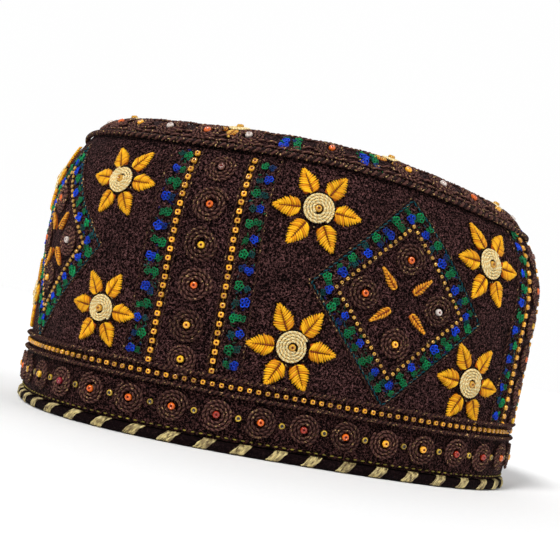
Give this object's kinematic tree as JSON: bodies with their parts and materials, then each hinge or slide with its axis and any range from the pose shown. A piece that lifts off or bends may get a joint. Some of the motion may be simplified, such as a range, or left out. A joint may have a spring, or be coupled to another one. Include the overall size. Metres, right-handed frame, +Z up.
{
  "type": "balochi cap",
  "caption": "Stiff oval pillbox cap with a rounded shoulder, shallow domed crown, rim roll and a border of coiled cord rosettes; densely embroidered wall; worn on the head.",
  "frame": {"origin": "middle of the oval on the surface that the rim rests on", "axes": "+Z up through the crown, +X along the oval's long axis from front to back of the head"},
  "size_m": [0.2031, 0.1718, 0.1187],
  "materials": {
    "dark_cloth": "dark brown velvety chain-stitched cloth",
    "border_cloth": "dark brown looped cloth of the border",
    "rim_binding": "dark aubergine satin binding with woven pale gold patches",
    "couched_cord": "coiled twisted dark cord with pale and reddish flecks",
    "seam_piping": "twisted brown piping flecked with gold",
    "petal_satin": "golden yellow satin stitch, glossy thread",
    "blue_stitch": "blue satin stitch",
    "green_stitch": "green satin stitch",
    "metal_thread": "pale gold metal-wrapped thread",
    "amber_bead": "glossy amber glass beads with dark red holes",
    "red_bead": "glossy dark red glass beads",
    "pearl_bead": "glossy white glass beads"
  },
  "bodies": {
    "root": {"rim_roll": "rim_binding", "lower_band": "border_cloth", "border_cord_lower": "couched_cord", "border_cord_upper": "couched_cord", "side_wall": "dark_cloth", "seam_cord": "seam_piping", "crown": "dark_cloth", "band_rosette_01": "couched_cord", "band_rosette_02": "couched_cord", "band_rosette_03": "couched_cord", "band_rosette_04": "couched_cord", "band_rosette_05": "couched_cord", "band_rosette_06": "couched_cord", "band_rosette_07": "couched_cord", "band_rosette_08": "couched_cord", "band_rosette_09": "couched_cord", "band_rosette_10": "couched_cord", "band_rosette_11": "couched_cord", "band_rosette_12": "couched_cord", "band_rosette_13": "couched_cord", "band_rosette_14": "couched_cord", "band_rosette_15": "couched_cord", "band_rosette_16": "couched_cord", "band_rosette_17": "couched_cord", "band_rosette_18": "couched_cord", "band_rosette_19": "couched_cord", "band_rosette_20": "couched_cord", "band_rosette_21": "couched_cord", "band_rosette_22": "couched_cord", "band_rosette_23": "couched_cord", "band_rosette_24": "couched_cord", "band_rosette_25": "couched_cord", "band_rosette_26": "couched_cord", "band_rosette_27": "couched_cord", "band_rosette_28": "couched_cord", "band_rosette_29": "couched_cord", "band_rosette_30": "couched_cord", "band_rosette_31": "couched_cord", "band_rosette_32": "couched_cord", "band_rosette_33": "couched_cord", "band_rosette_34": "couched_cord", "band_rosette_35": "couched_cord", "band_rosette_36": "couched_cord", "band_rosette_37": "couched_cord", "band_rosette_38": "couched_cord"}
  },
  "joints": []
}
